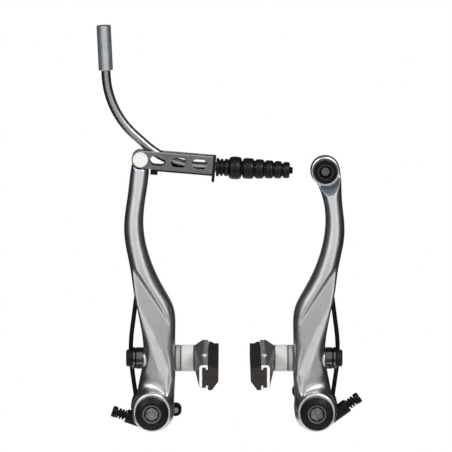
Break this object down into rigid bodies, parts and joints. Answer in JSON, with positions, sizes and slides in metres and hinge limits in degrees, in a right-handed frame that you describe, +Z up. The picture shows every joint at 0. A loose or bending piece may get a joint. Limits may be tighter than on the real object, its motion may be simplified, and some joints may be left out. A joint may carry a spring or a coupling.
{
  "type": "v brake",
  "caption": "Linear-pull rim brake: mirrored forged arms on frame bolts, cartridge shoes on posts, return springs, a hinged noodle holder with bent noodle and bellows boot, and a cable anchor.",
  "frame": {"origin": "midway between the two pivot axes, in the plane where the pivot sleeves meet the bicycle's bosses", "axes": "+X to the viewer's right along the wheel's axle direction, +Y away from the viewer into the bicycle's bosses, +Z up along the arms"},
  "size_m": [0.112, 0.068, 0.1722],
  "materials": {
    "arm_silver": "satin polished, clear anodised",
    "black_steel": "black oxide",
    "steel": "zinc plated",
    "seal_black": "black",
    "holder_black": "moulded black",
    "spring_black": "black coated",
    "washer_pale": "fine blasted, pale",
    "washer_chrome": "bright, dark",
    "nut_black": "black",
    "shoe_grey": "grey anodised, bare cut end",
    "pad_rubber": "brown-black compound",
    "pin_bright": "bright",
    "link_grey": "gunmetal",
    "noodle_steel": "polished",
    "liner": "natural",
    "ferrule_grey": "satin blue-grey",
    "boot_rubber": "satin black"
  },
  "bodies": {
    "frame_hardware": {"left_pivot_bush": "steel", "left_bolt_seal": "seal_black", "left_fixing_bolt": "black_steel", "left_spring_holder": "holder_black", "left_stopper_pin": "steel", "left_tension_coil": "spring_black", "right_pivot_bush": "steel", "right_bolt_seal": "seal_black", "right_fixing_bolt": "black_steel", "right_spring_holder": "holder_black", "right_stopper_pin": "steel", "right_tension_coil": "spring_black", "left_return_spring": "spring_black", "right_return_spring": "spring_black"},
    "left_arm": {"left_arm": "arm_silver", "link_pin": "pin_bright", "link_clip": "steel"},
    "right_arm": {"right_arm": "arm_silver", "cable_washer": "steel", "cable_bolt": "black_steel"},
    "noodle_holder": {"noodle_link": "link_grey", "link_insert": "holder_black"},
    "noodle": {"noodle_tube": "noodle_steel", "noodle_liner": "liner", "noodle_ferrule": "ferrule_grey", "noodle_nose": "noodle_steel", "boot": "boot_rubber"},
    "left_shoe": {"left_shoe_holder": "shoe_grey", "left_pad": "pad_rubber", "left_pad_pin": "pin_bright", "left_shoe_post": "steel", "left_inner_dome": "washer_pale", "left_inner_cup": "washer_pale", "left_outer_cup": "washer_chrome", "left_outer_dome": "washer_chrome", "left_shoe_nut": "nut_black"},
    "right_shoe": {"right_shoe_holder": "shoe_grey", "right_pad": "pad_rubber", "right_pad_pin": "pin_bright", "right_shoe_post": "steel", "right_inner_dome": "washer_pale", "right_inner_cup": "washer_pale", "right_outer_cup": "washer_chrome", "right_outer_dome": "washer_chrome", "right_shoe_nut": "nut_black"},
    "left_tension_screw": {"left_tension_screw": "spring_black"},
    "right_tension_screw": {"right_tension_screw": "spring_black"}
  },
  "joints": [
    {"name": "left_arm_pivot", "type": "hinge", "parent": "frame_hardware", "child": "left_arm", "pos_m": [-0.0347, 0, 0], "axis": [0, 1, 0], "range_deg": [-28, 1.8], "stiffness_Nm_per_rad": 0.9, "deforming": ["left_return_spring"]},
    {"name": "right_arm_pivot", "type": "hinge", "parent": "frame_hardware", "child": "right_arm", "pos_m": [0.0347, 0, 0], "axis": [0, -1, 0], "range_deg": [-28, 1.8], "stiffness_Nm_per_rad": 0.9, "deforming": ["right_return_spring"]},
    {"name": "noodle_holder_pivot", "type": "hinge", "parent": "left_arm", "child": "noodle_holder", "pos_m": [-0.03936, -0.012, 0.1067], "axis": [0, -1, 0], "range_deg": [0, 95]},
    {"name": "noodle_swivel", "type": "hinge", "parent": "noodle_holder", "child": "noodle", "pos_m": [-0.01065, -0.012, 0.10319], "axis": [0.999, 0, -0.0436], "range_deg": [-10, 10]},
    {"name": "left_shoe_angle", "type": "hinge", "parent": "left_arm", "child": "left_shoe", "pos_m": [-0.0227, -0.0112, 0.0218], "axis": [1, 0, 0], "range_deg": [-15, 15]},
    {"name": "right_shoe_angle", "type": "hinge", "parent": "right_arm", "child": "right_shoe", "pos_m": [0.0227, -0.0112, 0.0218], "axis": [1, 0, 0], "range_deg": [-15, 15]},
    {"name": "left_tension_turn", "type": "hinge", "parent": "frame_hardware", "child": "left_tension_screw", "pos_m": [-0.05089, -0.0033, -0.00262], "axis": [-0.9455, 0, 0.3256], "range_deg": [-180, 180]},
    {"name": "right_tension_turn", "type": "hinge", "parent": "frame_hardware", "child": "right_tension_screw", "pos_m": [0.05095, -0.0033, 0.00223], "axis": [0.809, 0, 0.5878], "range_deg": [-180, 180]}
  ]
}
